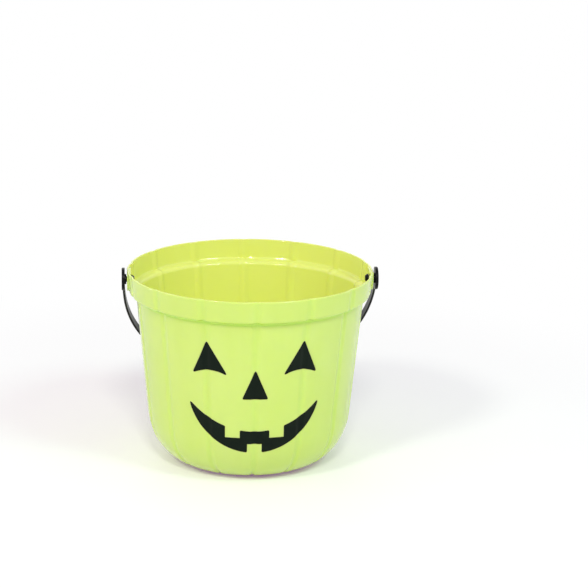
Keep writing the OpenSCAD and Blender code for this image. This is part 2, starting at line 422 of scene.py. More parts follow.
@dataclass(frozen=True)
class FacePaint:
    """Black pad-printed paint on the floors of the face recesses.

    Scales of noise are in waves to the metre.

    Attributes:
        colour: The paint's own colour.
        thin: The colour where the coat is thin.
        roughness: Its mean roughness.
        cloud_scale: Scale of the cloudy patches.
        speck_scale: Scale of the specks.
        drag_scale: Scale of the drag marks of the printing pad.
        bump_strength: How much of the drag marks and specks shows.
        bump_depth: Their real height in metres.
    """

    colour: Colour = srgb(13, 24, 16)
    thin: Colour = srgb(24, 36, 26)
    roughness: float = 0.42
    cloud_scale: float = 55
    speck_scale: float = 1500
    drag_scale: float = 240
    bump_strength: float = 0.3
    bump_depth: float = 0.00006

    def make(self) -> bpy.types.Material:
        """Makes the material.

        Returns:
            The material.
        """
        shader = Shader(bpy.data.materials.new("face_paint"))
        clouds = shader.noise(self.cloud_scale, 4)
        specks = shader.noise(self.speck_scale, 3).ramp(0.68, 0.76)
        thinned = clouds.ramp(0.4, 0.75) * 0.4 + specks * 0.4
        marks = shader.noise(self.drag_scale, 3, (0.25, 1, 1)) * 0.6 + specks * 0.4
        return shader.finish({
            "Base Color": shader.blend(thinned, self.colour, self.thin),
            "Roughness": self.roughness + (clouds - 0.5) * 0.2,
            "Normal": shader.bump(marks, self.bump_strength, self.bump_depth),
            "IOR": 1.5,
            "Specular IOR Level": 0.1,
        })


def select_only(piece: Piece) -> None:
    """Deselects everything and makes one object the selected, active one.

    Args:
        piece: The object.
    """
    for other in bpy.context.view_layer.objects:
        other.select_set(False)
    piece.select_set(True)
    bpy.context.view_layer.objects.active = piece


@contextmanager
def editing(piece: Piece) -> Iterator[None]:
    """Holds a piece in edit mode, with all of it selected at first.

    Args:
        piece: The piece.

    Yields:
        Nothing.
    """
    select_only(piece)
    bpy.ops.object.mode_set(mode="EDIT")
    bpy.context.tool_settings.mesh_select_mode = (True, False, False)
    bpy.ops.mesh.select_all(action="SELECT")
    try:
        yield
    finally:
        bpy.ops.object.mode_set(mode="OBJECT")


def pick(piece: Piece, kind: str, wanted: Callable[[Any], bool]) -> None:
    """Selects only the parts of a mesh in edit mode that pass a test.

    Args:
        piece: The piece, which is in edit mode.
        kind: "verts", "edges" or "faces".
        wanted: The test on one vertex, edge or face.
    """
    kinds = ("verts", "edges", "faces")
    bpy.context.tool_settings.mesh_select_mode = tuple(kind == name for name in kinds)
    mesh = bmesh.from_edit_mesh(piece.data)
    for part in (*mesh.faces, *mesh.edges, *mesh.verts):
        part.select = False
    for part in getattr(mesh, kind):
        if wanted(part):
            part.select_set(True)
    bmesh.update_edit_mesh(piece.data)


def extrude(*by: float) -> None:
    """Extrudes what is selected, by millimetres along X, Y and Z."""
    bpy.ops.mesh.extrude_region_move(TRANSFORM_OT_translate={"value": [part * MM for part in by]})


def round_edges(offset: float, segments: int) -> None:
    """Bevels the selected edges, by millimetres."""
    bpy.ops.mesh.bevel(offset=offset * MM, segments=segments, affect="EDGES")


def close_seams() -> None:
    """Merges the doubles of the mesh in edit mode and turns its faces outwards."""
    bpy.ops.mesh.select_all(action="SELECT")
    bpy.ops.mesh.remove_doubles(threshold=MICRON)
    bpy.ops.mesh.normals_make_consistent(inside=False)


def apply_modifier(piece: Piece, kind: str, **settings: Any) -> None:
    """Adds one modifier and applies it.

    Args:
        piece: The piece.
        kind: The modifier's type.
        settings: The modifier's settings.
    """
    select_only(piece)
    modifier = piece.modifiers.new(kind.lower(), kind)
    for key, setting in settings.items():
        setattr(modifier, key, setting)
    bpy.ops.object.modifier_apply(modifier=modifier.name)


def cut(piece: Piece, tool: Piece, operation: str) -> None:
    """Joins, cuts or intersects a piece with a tool and throws the tool away.

    Args:
        piece: The piece that stays.
        tool: The other solid.
        operation: UNION, DIFFERENCE or INTERSECT.
    """
    apply_modifier(piece, "BOOLEAN", operation=operation, object=tool, solver="EXACT")
    bpy.data.objects.remove(tool)


def join(pieces: Sequence[Piece]) -> Piece:
    """Joins several objects into the first one.

    Args:
        pieces: The objects.

    Returns:
        The first one, which holds all the meshes.
    """
    select_only(pieces[0])
    for piece in pieces[1:]:
        piece.select_set(True)
    bpy.ops.object.join()
    return pieces[0]


def settle(piece: Piece) -> None:
    """Moves an object's place, turn and scale into its mesh."""
    select_only(piece)
    bpy.ops.object.transform_apply(location=True, rotation=True, scale=True)


def copy_piece(piece: Piece) -> Piece:
    """Copies an object with its mesh.

    Args:
        piece: The object.

    Returns:
        The copy, which has a mesh of its own.
    """
    twin = piece.copy()
    twin.data = piece.data.copy()
    bpy.context.collection.objects.link(twin)
    return twin


def add_drum(
    sides: int, across: float, depth: float, centre: Triple, lying: bool = True
) -> Piece:
    """Adds a round blank, with its sizes in millimetres.

    Args:
        sides: The number of its sides.
        across: Its diameter.
        depth: Its length.
        centre: Its middle.
        lying: Whether it lies along X or stands upright.

    Returns:
        The blank.
    """
    bpy.ops.mesh.primitive_cylinder_add(
        vertices=sides, radius=across / 2 * MM, depth=depth * MM,
        location=[part * MM for part in centre], rotation=(0, math.pi / 2 * lying, 0))
    drum = bpy.context.object
    settle(drum)
    return drum


def draw_line(name: str, points: Sequence[Vector], closed: bool = False) -> Piece:
    """Draws a line of edges by extruding one vertex from point to point.

    Args:
        name: The object's name.
        points: The points, in metres.
        closed: Whether the line is closed and filled with a face.

    Returns:
        The object.
    """
    bpy.ops.mesh.primitive_plane_add(size=MM, location=(0, 0, 0))
    line = bpy.context.object
    line.name = name
    with editing(line):
        bpy.ops.mesh.merge(type="CENTER")
        bpy.ops.transform.translate(value=points[0])
        for start, end in pairwise(points):
            bpy.ops.mesh.extrude_vertices_move(TRANSFORM_OT_translate={"value": end - start})
        if closed:
            bpy.ops.mesh.select_all(action="SELECT")
            bpy.ops.mesh.edge_face_add()
    return line


def split(steps: int) -> list[float]:
    """Gives the shares from 0 to 1 at which a number of even steps begin and end."""
    return [step / steps for step in range(steps + 1)]


def fit_arc(
    before: Vector, corner: Vector, after: Vector, radius: float
) -> tuple[Vector, Vector, Vector]:
    """Fits an arc into a corner of a line, in two dimensions.

    Args:
        before: A point before the corner.
        corner: The corner.
        after: A point after the corner.
        radius: The arc's radius.

    Returns:
        The arc's centre, and the ways from it to the arc's first and last points.
    """
    back = (before - corner).normalized()
    ahead = (after - corner).normalized()
    half = back.angle(ahead) / 2
    centre = corner + (back + ahead).normalized() * radius / math.sin(half)
    first = corner + back * radius / math.tan(half) - centre
    last = corner + ahead * radius / math.tan(half) - centre
    return centre, first, last


def fillet(before: Vector, corner: Vector, after: Vector, radius: float, steps: int) -> list[Vector]:
    """Rounds one corner of a line with an arc.

    Args:
        before: A point before the corner.
        corner: The corner.
        after: A point after the corner.
        radius: The arc's radius.
        steps: Steps along the arc.

    Returns:
        The arc's points, in two dimensions.
    """
    centre, first, last = fit_arc(before, corner, after, radius)
    sweep = first.angle(last)
    arc = []
    for share in split(steps):
        turned = first * math.sin((1 - share) * sweep) + last * math.sin(share * sweep)
        arc.append(centre + turned / math.sin(sweep))
    return arc


def soft_corners(outline: Sequence[Vector], radius: float, steps: int = 5) -> list[Vector]:
    """Rounds the outward corners of a closed outline.

    Args:
        outline: The outline's points, anticlockwise.
        radius: The radius of the rounding.
        steps: Steps round each corner.

    Returns:
        The rounded outline.
    """
    sharp_turn = math.radians(25)
    count = len(outline)
    places = [0.0]
    for index in range(count):
        places.append(places[-1] + (outline[(index + 1) % count] - outline[index]).length)
    whole = places[-1]

    def at(place: float) -> Vector:
        """Finds a point by its way along the outline.

        Args:
            place: The length of the way.

        Returns:
            The point.
        """
        place %= whole
        index = max(i for i in range(count) if places[i] <= place + MICRON)
        side = outline[(index + 1) % count] - outline[index]
        return outline[index] + side.normalized() * (place - places[index])

    reaches = {}
    for index, point in enumerate(outline):
        turn = -(point - outline[index - 1]).angle_signed(outline[(index + 1) % count] - point)
        if turn > sharp_turn:
            reaches[index] = radius * math.tan(turn / 2)
    soft = []
    for index, point in enumerate(outline):
        place = places[index]
        gaps = {i: min((place - places[i]) % whole, (places[i] - place) % whole) for i in reaches}
        if index in reaches:
            first, last = at(place - reaches[index]), at(place + reaches[index])
            for share in split(steps):
                soft.append(
                    first * (1 - share) ** 2 + point * 2 * share * (1 - share) + last * share**2)
        elif all(gaps[i] > reach for i, reach in reaches.items()):
            soft.append(point)
    return soft


def arc_points(centre: Vector, radius: float, start: float, end: float, steps: int) -> list[Vector]:
    """Gives points along an arc in two dimensions.

    Args:
        centre: The arc's centre.
        radius: The arc's radius.
        start: First angle in radians.
        end: Last angle in radians.
        steps: Steps along the arc.

    Returns:
        The points.
    """
    points = []
    for share in split(steps):
        angle = start + (end - start) * share
        points.append(centre + Vector((math.cos(angle), math.sin(angle))) * radius)
    return points


def dress(
    piece: Piece,
    name: str,
    material: bpy.types.Material,
    body: Body,
    node: str,
) -> None:
    """Gives a finished mesh its name, shading, material and body, and hides the CAD node that it
    stands for.

    Args:
        piece: The mesh object.
        name: The piece's name.
        material: Its material.
        body: The body that it rides on.
        node: The CAD node that it stands for.
    """
    settle(piece)
    with editing(piece):
        bpy.ops.mesh.remove_doubles(threshold=MICRON)
    select_only(piece)
    bpy.ops.object.shade_smooth_by_angle(angle=math.radians(SHARP_DEG))
    apply_modifier(piece, "WEIGHTED_NORMAL", keep_sharp=True, weight=NORMAL_WEIGHT)
    piece.name = name
    piece.data.name = name
    piece.data.materials.clear()
    piece.data.materials.append(material)
    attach(piece, body.value)
    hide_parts(node)
    LOG.info("%s: %d faces, stands for %s", name, len(piece.data.polygons), node)


@dataclass
class Tub:
    """The thin moulded tub, with its lobes, rim band, ears, base and face recesses.

    Sizes are in millimetres and are those of the CAD solid, apart from the land, a narrow
    slope over the inner ledge: the wall there is a little thicker in each lobe and a little
    thinner in each groove.
    """

    rim_d: float = 190
    height: float = 151.2
    band_h: float = 17
    band_draft: float = 1.8
    shoulder_in: float = 5.1
    shoulder_h: float = 1.6
    wall_draft: float = 9.3
    foot_curve_h: float = 38
    foot_pull: float = 0.55
    stand_d: float = 87
    wall: float = 1.6
    lip_round: float = 0.74
    lobe_count: int = 14
    groove_depth: float = 0.9
    groove_half_share: float = 0.11
    panel_d: float = 66
    panel_rise: float = 1.4
    gate_d: float = 7
    gate_depth: float = 0.5
    pivot_drop: float = 7.4
    ear_w: float = 18
    ear_t: float = 2.8
    ear_round: float = 0.35
    hole_d: float = 4.5
    recess: float = 0.6
    face_low: float = 16
    face_high: float = 124
    face_y: float = -30
    band_fillet: float = 2.4
    shoulder_fillet: float = 2
    land_in: float = 0.4
    land_deg: float = 28
    land_edge: float = 0.15
    groove_relief: float = 0.35
    panel_shares: tuple[float, ...] = (0, 0.15, 0.5, 0.9)
    panel_fillet_steps: int = 3
    foot_steps: int = 22
    wall_steps: int = 26
    shoulder_fillet_steps: int = 5
    band_fillet_steps: int = 6
    band_steps: int = 6
    groove_steps: int = 12
    lobe_steps: int = 5
    overrun: float = 1

    @property
    def rim_r(self) -> float:
        """Outer radius at the top of the band."""
        return self.rim_d / 2

    @property
    def stand_r(self) -> float:
        """Radius of the ring on which the tub stands."""
        return self.stand_d / 2

    @property
    def pitch(self) -> float:
        """Angle of one lobe, in radians."""
        return math.tau / self.lobe_count

    @property
    def pivot_z(self) -> float:
        """Height of the bail's pivot line."""
        return self.height - self.pivot_drop

    @property
    def band_foot(self) -> Vector:
        """Radius and height of the corner under the rim band."""
        return Vector((self.rim_r - self.band_draft, self.height - self.band_h))

    @property
    def shoulder_foot(self) -> Vector:
        """Radius and height of the corner under the ledge."""
        return self.band_foot - Vector((self.shoulder_in, self.shoulder_h))

    @property
    def lip_start(self) -> Vector:
        """Radius and height at which the lip starts."""
        return Vector((self.rim_r, self.height - self.wall / 2))

    @property
    def inner_fillet(self) -> float:
        """Radius of the band's lower corner on the inside."""
        return self.band_fillet - self.wall

    @property
    def land_top(self) -> float:
        """Works out how far up the band the land over the inner ledge reaches.

        Returns:
            The length in millimetres.
        """
        slope = math.radians(self.land_deg)
        rise = slope - math.atan2(self.band_draft, self.band_h)
        drawn = self.land_in * math.cos(slope) - self.inner_fillet * (1 - math.cos(rise))
        return drawn / math.sin(rise)

    def swell(self, point: Vector, depth: float) -> float:
        """Gives how much thicker than elsewhere the wall is at a point of the profile.

        The corner over the inner ledge is drawn in, and the land slopes down to it. In a
        groove the corner is a little thinner instead, so that it doesn't fold.

        Args:
            point: Radius and height of the point on the outer profile, in millimetres.
            depth: The groove's depth share there.

        Returns:
            The extra thickness in millimetres.
        """
        arc_slack = 0.01
        centre = fit_arc(self.shoulder_foot, self.band_foot, self.lip_start, self.band_fillet)[0]
        away = point - centre
        if abs(away.length - self.band_fillet) > arc_slack:
            return 0.0
        slope = math.radians(self.land_deg)
        turn = math.atan2(-away.y, away.x)
        inner = self.inner_fillet
        extra = self.land_in * math.cos(turn)
        if turn < slope:
            extra = inner - (inner - self.land_in * math.cos(slope)) / math.cos(turn - slope)
        return extra * (1 - depth) - self.groove_relief * depth

    def foot_curve(self, wall_foot: Vector, wall_way: Vector) -> list[Vector]:
        """Draws the curve from the stand ring up to the straight wall.

        Args:
            wall_foot: Where the straight wall starts.
            wall_way: The way down along the wall, of length 1.

        Returns:
            Points of radius and height.
        """
        stand = Vector((self.stand_r, 0))
        handles = (
            stand,
            stand + Vector((self.foot_pull * (wall_foot.x - stand.x), 0)),
            wall_foot + wall_way * self.foot_pull * self.foot_curve_h,
            wall_foot,
        )
        points = []
        for t in split(self.foot_steps):
            weights = ((1 - t) ** 3, 3 * (1 - t) ** 2 * t, 3 * (1 - t) * t * t, t**3)
            points.append(sum((h * w for h, w in zip(handles, weights)), Vector((0, 0))))
        return points

    def profile(self) -> list[Vector]:
        """Gives the outer profile from the middle of the base to the rim.

        Returns:
            Points of radius and height, in millimetres.
        """
        band_foot, shoulder_foot, lip_start = self.band_foot, self.shoulder_foot, self.lip_start
        wall_foot = Vector((shoulder_foot.x - self.wall_draft, self.foot_curve_h))
        panel, rise, steps = self.panel_d / 2, self.panel_rise, self.panel_fillet_steps
        panel_edge = Vector((panel, rise))
        panel_foot = Vector((panel + rise, 0))
        points = [Vector((panel * share, rise)) for share in self.panel_shares]
        points += fillet(Vector((0, rise)), panel_edge, panel_foot, rise, steps)
        points += fillet(panel_edge, panel_foot, Vector((self.stand_r, 0)), rise, steps)
        points += self.foot_curve(wall_foot, (wall_foot - shoulder_foot).normalized())
        shoulder = fillet(
            wall_foot, shoulder_foot, band_foot, self.shoulder_fillet, self.shoulder_fillet_steps)
        points += [wall_foot.lerp(shoulder[0], share) for share in split(self.wall_steps)[1:-1]]
        band = fillet(shoulder_foot, band_foot, lip_start, self.band_fillet, self.band_fillet_steps)
        points += [*shoulder, shoulder[-1].lerp(band[0], 0.5), *band]
        band_length = (lip_start - band[-1]).length
        shares = [self.land_top / band_length, (self.land_top + self.land_edge) / band_length]
        shares += split(self.band_steps)[1:-1]
        points += [band[-1].lerp(lip_start, share) for share in shares]
        return [*points, lip_start, Vector((self.rim_r, self.height))]

    def groove_shape(self, share: float) -> float:
        """Gives the groove's depth share at a share of the lobes' pitch from its middle."""
        inside = abs(share) < self.groove_half_share
        return (1 + math.cos(math.pi * share / self.groove_half_share)) / 2 if inside else 0.0

    def build_sheet(self) -> Piece:
        """Spins one lobe, presses its groove and copies it round the tub.

        Returns:
            The outer sheet of the tub, with no thickness yet.
        """
        turn = Matrix.Rotation(-math.pi / 2 + self.pitch / 2, 3, "Z")
        line = [turn @ Vector((p.x, 0, p.y)) * MM for p in self.profile()]
        sheet = draw_line("tub_sheet", line)
        groove_share = 2 * self.groove_half_share
        half_lobe = ((1 - groove_share) / 2, self.lobe_steps)
        with editing(sheet):
            for share, steps in (half_lobe, (groove_share, self.groove_steps), half_lobe):
                bpy.ops.mesh.spin(
                    steps=steps, angle=share * self.pitch, center=(0, 0, 0), axis=(0, 0, 1))
            close_seams()
        self.press_groove(sheet)
        with editing(sheet):
            bpy.ops.mesh.spin(
                steps=self.lobe_count - 1, dupli=True, angle=math.tau - self.pitch,
                center=(0, 0, 0), axis=(0, 0, 1))
            close_seams()
        return sheet

    def press_groove(self, sheet: Piece) -> None:
        """Presses the groove into one lobe's sheet and marks how thick its wall will be.

        Args:
            sheet: The sheet, from the middle of one lobe to the middle of the next.
        """
        groove_group = sheet.vertex_groups.new(name="groove")
        wall_group = sheet.vertex_groups.new(name="wall")
        panel_end = self.panel_d / 2
        for vertex in sheet.data.vertices:
            radius = math.hypot(vertex.co.x, vertex.co.y)
            turns = (math.atan2(vertex.co.y, vertex.co.x) + math.pi / 2) / self.pitch
            depth = self.groove_shape(turns - round(turns))
            swell = self.swell(Vector((radius, vertex.co.z)) / MM, depth)
            wall_share = (self.wall + swell) / (self.wall + self.land_in)
            wall_group.add([vertex.index], wall_share, "REPLACE")
            fade = (radius / MM - panel_end - self.panel_rise) / (
                self.stand_r - panel_end - self.panel_rise)
            weight = depth * min(1.0, max(0.0, fade))
            if weight > 0:
                groove_group.add([vertex.index], weight, "REPLACE")
        apply_modifier(
            sheet, "DISPLACE", direction="NORMAL", vertex_group="groove",
            strength=-self.groove_depth * MM, mid_level=0)

    def front_skin(self, sheet: Piece, outer: float, inner: float) -> Piece:
        """Gives the front of the wall between two depths below its outer surface.

        Args:
            sheet: The tub's outer sheet.
            outer: The depth of the skin's outer face, in millimetres.
            inner: The depth of its inner face, in millimetres.

        Returns:
            A closed solid.
        """
        skin = copy_piece(sheet)
        low, high, front = self.face_low * MM, self.face_high * MM, self.face_y * MM
        with editing(skin):
            pick(skin, "faces", lambda face: not (
                low < face.calc_center_median().z < high and face.calc_center_median().y < front))
            bpy.ops.mesh.delete(type="FACE")
        apply_modifier(skin, "DISPLACE", direction="NORMAL", strength=-outer * MM, mid_level=0)
        apply_modifier(
            skin, "SOLIDIFY", thickness=(inner - outer) * MM, offset=-1, use_even_offset=True)
        return skin

    def build_ear(self, side: Side) -> Piece:
        """Models one flat ear pad: a half disc, pulled up to the rim.

        Args:
            side: The side of the pail.

        Returns:
            The ear.
        """
        outer = side.value * self.rim_r * MM
        ear = add_drum(
            96, self.ear_w, self.ear_t,
            (side.value * (self.rim_r - self.ear_t / 2), 0, self.pivot_z))
        with editing(ear):
            bpy.ops.mesh.bisect(
                plane_co=(0, 0, self.pivot_z * MM), plane_no=(0, 0, 1),
                use_fill=True, clear_outer=True)
            pick(ear, "faces", lambda face: face.normal.z > FACING)
            extrude(0, 0, self.pivot_drop - self.wall / 2)
            pick(ear, "edges", lambda edge: all(abs(v.co.x - outer) < MICRON for v in edge.verts))
            round_edges(self.ear_round, segments=3)
        return ear

    def build_wall(self, sheet: Piece) -> Piece:
        """Thickens the sheet, rounds its lip and adds the ears.

        Args:
            sheet: The tub's outer sheet.

        Returns:
            The tub without its holes and recesses.
        """
        tub = copy_piece(sheet)
        apply_modifier(
            tub, "SOLIDIFY", thickness=(self.wall + self.land_in) * MM, offset=-1,
            vertex_group="wall", use_even_offset=True, use_quality_normals=True)
        lip = (self.height - self.wall / 4) * MM
        lip_turn = math.radians(EDGE_DEG)
        with editing(tub):
            pick(tub, "edges", lambda edge: (
                all(v.co.z > lip for v in edge.verts)
                and len(edge.link_faces) == 2
                and edge.calc_face_angle() > lip_turn))
            round_edges(self.lip_round, segments=4)
        cut(tub, join([self.build_ear(side) for side in Side]), "UNION")
        return tub

    def build_pin_bore(self) -> Piece:
        """Models the cutter that bores both pin holes."""
        return add_drum(64, self.hole_d, self.rim_d + 4 * self.overrun, (0, 0, self.pivot_z))

    def build_gate(self) -> Piece:
        """Models the cutter of the gate's dimple, a flat dish with a sloping edge.

        Returns:
            The cutter.
        """
        top = self.panel_rise + self.gate_depth
        gate = add_drum(
            48, self.gate_d, self.gate_depth * 2, (0, 0, top - self.gate_depth), lying=False)
        near_top = (top - self.gate_depth / 5) * MM
        with editing(gate):
            pick(gate, "edges", lambda edge: all(v.co.z > near_top for v in edge.verts))
            round_edges(self.gate_depth / 2, segments=3)
        return gate


@dataclass
class Face:
    """The plain jack-o'-lantern face: recesses in the tub and paint on their floors.

    Sizes are in millimetres.
    """

    eye_w: float = 27
    eye_h: float = 28
    eye_x: float = 33.5
    eye_z: float = 89.5
    eye_lean: float = 0.12
    eye_bow: float = 0.16
    nose_w: float = 20
    nose_h: float = 24
    nose_z: float = 72
    grin_w: float = 98
    grin_tip_z: float = 68
    grin_drop: float = 40
    grin_open: float = 18
    tooth_w: float = 11
    tooth_h: float = 7.5
    upper_tooth_share: float = 0.17
    corner_r: float = 1.2
    paint_t: float = 0.25
    edge_gap: float = 0.03
    reach: Span = (-20, -100)
    arc_steps: int = 40

    def eye(self) -> list[Vector]:
        """Draws the right eye: a leaning triangle whose lower side bows up.

        Returns:
            Its outline.
        """
        drop = self.eye_h * self.eye_bow
        bow_r = (self.eye_w**2 / 4 + drop**2) / (2 * drop)
        half = math.asin(self.eye_w / 2 / bow_r)
        base = Vector((self.eye_x, self.eye_z))
        bow = arc_points(
            base + Vector((0, drop - bow_r)), bow_r,
            math.pi / 2 + half, math.pi / 2 - half, self.arc_steps // 2)
        apex = base + Vector((self.eye_w * self.eye_lean, self.eye_h))
        return soft_corners([*bow, apex], self.corner_r)

    def nose(self) -> list[Vector]:
        """Draws the nose, a small triangle.

        Returns:
            Its outline.
        """
        half = self.nose_w / 2
        corners = [(-half, 0), (half, 0), (0, self.nose_h)]
        base = Vector((0, self.nose_z))
        return soft_corners([base + Vector(corner) for corner in corners], self.corner_r)

    def grin(self) -> list[Vector]:
        """Draws the grin, a crescent with two teeth above and one below.

        Returns:
            Its outline.
        """
        half = self.grin_w / 2
        rise = self.grin_drop - self.grin_open
        low_r = (half**2 + self.grin_drop**2) / (2 * self.grin_drop)
        up_r = (half**2 + rise**2) / (2 * rise)
        low_c = Vector((0, self.grin_tip_z - self.grin_drop + low_r))
        up_c = Vector((0, self.grin_tip_z - rise + up_r))
        tooth_x = self.grin_w * self.upper_tooth_share
        upper_edge = up_c.y - math.sqrt(up_r**2 - tooth_x**2)

        def run(centre: Vector, radius: float, start: float, end: float) -> list[Vector]:
            """Draws the lower arc of a circle between two places across.

            Args:
                centre: The circle's centre.
                radius: Its radius.
                start: Where the arc starts, across.
                end: Where it ends.

            Returns:
                The arc's points.
            """
            steps = max(2, round(self.arc_steps * abs(end - start) / self.grin_w))
            first, last = (-math.acos((x - centre.x) / radius) for x in (start, end))
            return arc_points(centre, radius, first, last, steps)

        tooth = self.tooth_w / 2
        low_top = self.grin_tip_z - self.grin_drop + self.tooth_h
        outline = run(low_c, low_r, -half, -tooth)
        outline += [Vector((-tooth, low_top)), Vector((tooth, low_top))]
        outline += run(low_c, low_r, tooth, half)[:-1]
        upper = [half, tooth_x + tooth, tooth_x - tooth, -tooth_x + tooth, -tooth_x - tooth, -half]
        for index in range(0, len(upper), 2):
            outline += run(up_c, up_r, upper[index], upper[index + 1])
            if index + 2 < len(upper):
                for x in upper[index + 1:index + 3]:
                    outline.append(Vector((x, upper_edge - self.tooth_h)))
        return soft_corners(outline[:-1], self.corner_r)

    def outlines(self) -> dict[str, list[Vector]]:
        """Draws the whole face.

        Returns:
            Every outline, by the name of its paint's CAD node.
        """
        eye = self.eye()
        return {
            "left_eye_paint": [Vector((-p.x, p.y)) for p in reversed(eye)],
            "right_eye_paint": eye,
            "nose_paint": self.nose(),
            "mouth_paint": self.grin(),
        }

    def prism(self, name: str, outline: Sequence[Vector], shrink: float) -> Piece:
        """Pulls an outline straight back through the front of the tub.

        Args:
            name: The object's name.
            outline: Its points, across and up, anticlockwise.
            shrink: How far the outline is drawn in, in millimetres.

        Returns:
            The prism.
        """
        count = len(outline)
        points = []
        for index, point in enumerate(outline):
            along = outline[(index + 1) % count] - outline[index - 1]
            moved = point + Vector((-along.y, along.x)).normalized() * shrink
            points.append(Vector((moved.x, self.reach[0], moved.y)) * MM)
        shape = draw_line(name, points, closed=True)
        with editing(shape):
            extrude(0, self.reach[1] - self.reach[0], 0)
            bpy.ops.mesh.select_all(action="SELECT")
            bpy.ops.mesh.normals_make_consistent(inside=False)
        return shape

    def build_cutter(self, tub: Tub, sheet: Piece) -> Piece:
        """Models the cutter that presses the face into the tub.

        Args:
            tub: The tub.
            sheet: The tub's outer sheet.

        Returns:
            The cutter.
        """
        skin = tub.front_skin(sheet, -tub.overrun, tub.recess)
        prisms = [self.prism(name, line, 0) for name, line in self.outlines().items()]
        cut(skin, join(prisms), "INTERSECT")
        return skin

    def build_paint(self, tub: Tub, sheet: Piece, material: bpy.types.Material) -> None:
        """Models the coats of paint on the recess floors.

        Args:
            tub: The tub.
            sheet: The tub's outer sheet.
            material: The paint.
        """
        for name, line in self.outlines().items():
            coat = tub.front_skin(sheet, tub.recess - self.paint_t, tub.recess)
            cut(coat, self.prism(name, line, self.edge_gap), "INTERSECT")
            dress(coat, name.replace("_paint", "_coat"), material, Body.TUB, name)


@dataclass
class Bail:
    """The swinging strap with a disc, a collar, a pin and a snap head at each end.

    Sizes are in millimetres and are those of the CAD solid. The head's steps are shares of
    its length and the scale across that follows each.
    """

    tub: Tub
    reach: float = 128
    strap_t: float = 1.7
    strap_round: float = 0.42
    leg_w: float = 6.6
    grip_w: float = 10
    disc_d: float = 17.6
    disc_t: float = 2.4
    pin_d: float = 4.4
    head_d: float = 7
    head_t: float = 2.4
    head_steps: tuple[Span, ...] = ((0.5, 0.84), (0.35, 0.79), (0.15, 0.8))
    collar_d: float = 8
    collar_t: float = 1.2
    seat_gap: float = 0.5
    power: float = 2.3
    grip_share: float = 0.5
    leg_share: float = 0.9
    lay_deg: float = 48.874
    strap_steps: int = 120
    rows: int = 4

    @property
    def disc_in(self) -> float:
        """Distance from the middle to the discs' inner faces."""
        return self.tub.rim_r + self.seat_gap + self.collar_t

    @property
    def leg_x(self) -> float:
        """Distance from the middle to the middle of the strap at its ends."""
        return self.disc_in + self.strap_t / 2

    def half_width(self, x: float) -> float:
        """Works out half the strap's width at a distance across the bail.

        Args:
            x: The distance from the middle.

        Returns:
            Half the width.
        """
        share = (abs(x) / self.leg_x - self.grip_share) / (self.leg_share - self.grip_share)
        share = min(1.0, max(0.0, share))
        return (self.grip_w + (self.leg_w - self.grip_w) * (1 - math.cos(math.pi * share)) / 2) / 2

    def centre_line(self) -> list[Vector]:
        """Draws the strap's middle line, upright over the pivot line.

        Returns:
            Its points.
        """
        points = []
        for share in split(self.strap_steps):
            across, up = math.cos(math.pi * share), math.sin(math.pi * share)
            x = math.copysign(abs(across) ** (2 / self.power), across) * self.leg_x
            z = abs(up) ** (2 / self.power) * self.reach
            points.append(Vector((x, 0, z)))
        return points

    def build_strap(self) -> Piece:
        """Extrudes the strap's ribbon, gives it width and thickness and rounds its edges.

        Returns:
            The strap.
        """
        strap = draw_line("strap", [p * MM for p in self.centre_line()])
        with editing(strap):
            bpy.ops.transform.translate(value=(0, -self.grip_w / 2 * MM, 0))
            for _ in range(self.rows):
                extrude(0, self.grip_w / self.rows, 0)
        for vertex in strap.data.vertices:
            vertex.co.y *= self.half_width(vertex.co.x / MM) / (self.grip_w / 2)
        apply_modifier(strap, "SOLIDIFY", thickness=self.strap_t * MM, offset=0, use_even_offset=True)
        apply_modifier(
            strap, "BEVEL", width=self.strap_round * MM, segments=3, limit_method="ANGLE",
            angle_limit=math.radians(EDGE_DEG))
        return strap

    def build_stud(self) -> Piece:
        """Models the right end by insets and extrusions from its disc, along +X.

        Returns:
            The disc with its collar, pin and head.
        """
        stud = add_drum(72, self.disc_d, self.disc_t, (self.disc_in + self.disc_t / 2, 0, 0))
        head_out = self.tub.rim_r - self.tub.ear_t - self.seat_gap
        outer_x = (self.disc_in + self.disc_t) * MM
        steps = (
            (self.disc_d - self.collar_d, self.collar_t),
            (self.collar_d - self.pin_d, self.disc_in - self.collar_t - head_out),
        )

        def widen(scale: float) -> None:
            """Scales what is selected across the pin."""
            centre = (head_out * MM, 0, 0)
            bpy.ops.transform.resize(value=(1, scale, scale), center_override=centre)

        with editing(stud):
            pick(stud, "edges", lambda edge: all(abs(v.co.x - outer_x) < MICRON for v in edge.verts))
            round_edges(self.disc_t / 3, segments=4)
            pick(stud, "faces", lambda face: face.normal.x < -FACING)
            for narrower, length in steps:
                bpy.ops.mesh.inset(thickness=narrower / 2 * MM, depth=0)
                extrude(-length, 0, 0)
            extrude(0, 0, 0)
            widen(self.head_d / self.pin_d)
            for drop, scale in self.head_steps:
                extrude(-drop * self.head_t, 0, 0)
                widen(scale)
        return stud

    def build(self, material: bpy.types.Material) -> None:
        """Models the whole bail and lays it back as it rests.

        Args:
            material: The black plastic.
        """
        bail = self.build_strap()
        right = self.build_stud()
        left = copy_piece(right)
        left.matrix_world = Matrix.Rotation(math.pi, 4, "Z")
        settle(left)
        for stud in (right, left):
            cut(bail, stud, "UNION")
        turn = Matrix.Rotation(-math.radians(90 + self.lay_deg), 4, "X")
        bail.matrix_world = Matrix.Translation((0, 0, self.tub.pivot_z * MM)) @ turn
        dress(bail, "strap_bail", material, Body.BAIL, "bail")


